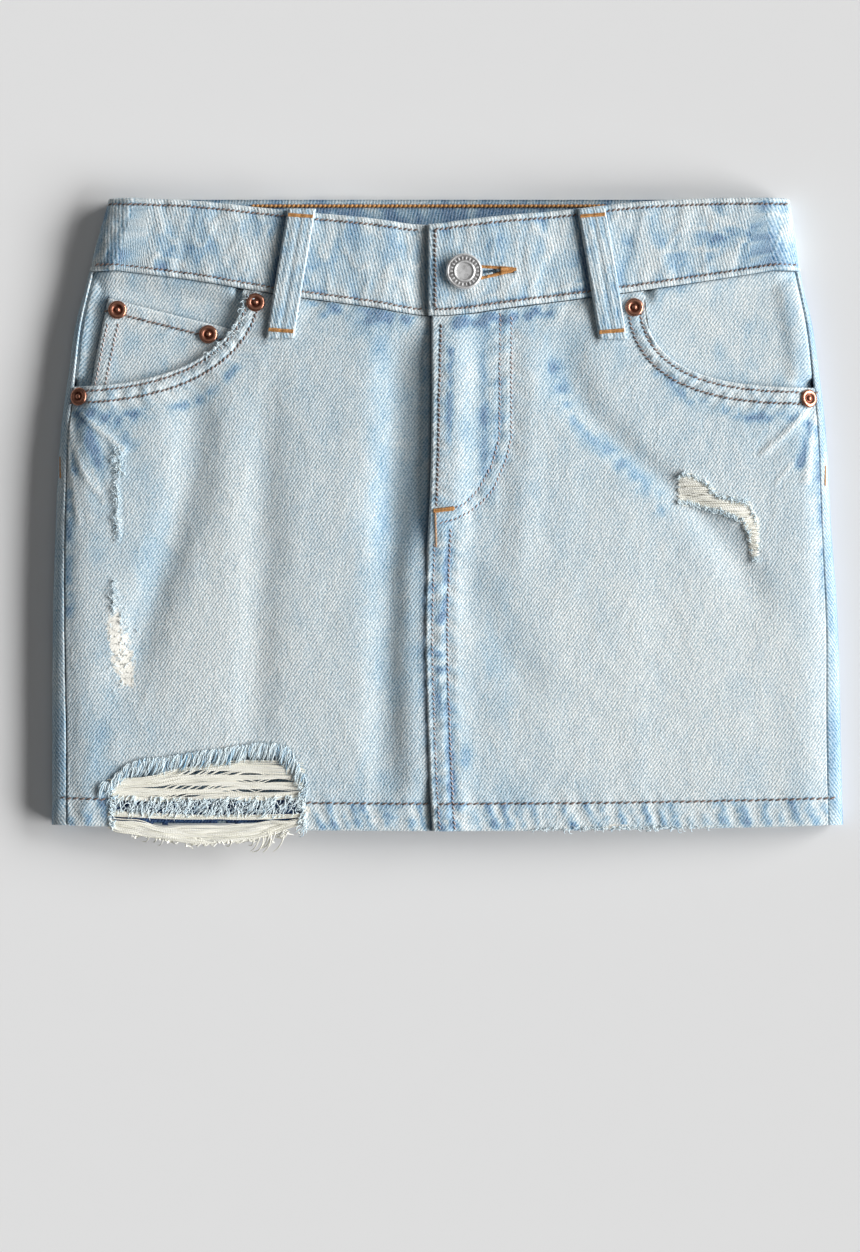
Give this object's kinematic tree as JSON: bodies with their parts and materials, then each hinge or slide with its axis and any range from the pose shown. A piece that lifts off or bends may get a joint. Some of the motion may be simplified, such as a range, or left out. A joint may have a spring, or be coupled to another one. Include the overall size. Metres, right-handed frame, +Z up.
{
  "type": "denim skirt",
  "caption": "Short denim skirt laid flat, with a buttoned fly, curved front pockets, a coin pocket, belt loops and a ripped hem.",
  "frame": {"origin": "on the surface it lies on, under the middle of its outline", "axes": "+X to the right across the front as it is looked at, +Y from the hem to the waist, +Z up out of the front"},
  "size_m": [0.3696, 0.3046, 0.0236],
  "materials": {
    "denim": "light blue cotton twill, washed and worn",
    "pale_denim": "pale light blue cotton twill",
    "white_cotton": "woven cotton tape",
    "ecru_yarn": "loose unbleached cotton yarn",
    "frayed_blue": "frayed light blue cotton yarn",
    "copper": "aged copper colour",
    "nickel": "satin silver colour"
  },
  "bodies": {
    "root": {"front_panel_right": "denim", "front_panel_left": "denim", "back_panel_right": "denim", "back_panel_left": "denim", "waistband": "denim", "fly_shield": "denim", "belt_loop_right": "denim", "belt_loop_left": "denim", "pocket_facing_right": "pale_denim", "pocket_facing_left": "pale_denim", "coin_pocket": "pale_denim", "zip": "white_cotton", "waist_button": "nickel", "rip_weft_yarn": "ecru_yarn", "rip_upper_fringe": "frayed_blue", "rip_hem_fringe": "frayed_blue", "rivet_coin_pocket_outer": "copper", "rivet_coin_pocket_inner": "copper", "rivet_right_pocket_inner": "copper", "rivet_right_pocket_side": "copper", "rivet_left_pocket_inner": "copper", "rivet_left_pocket_side": "copper"}
  },
  "joints": []
}
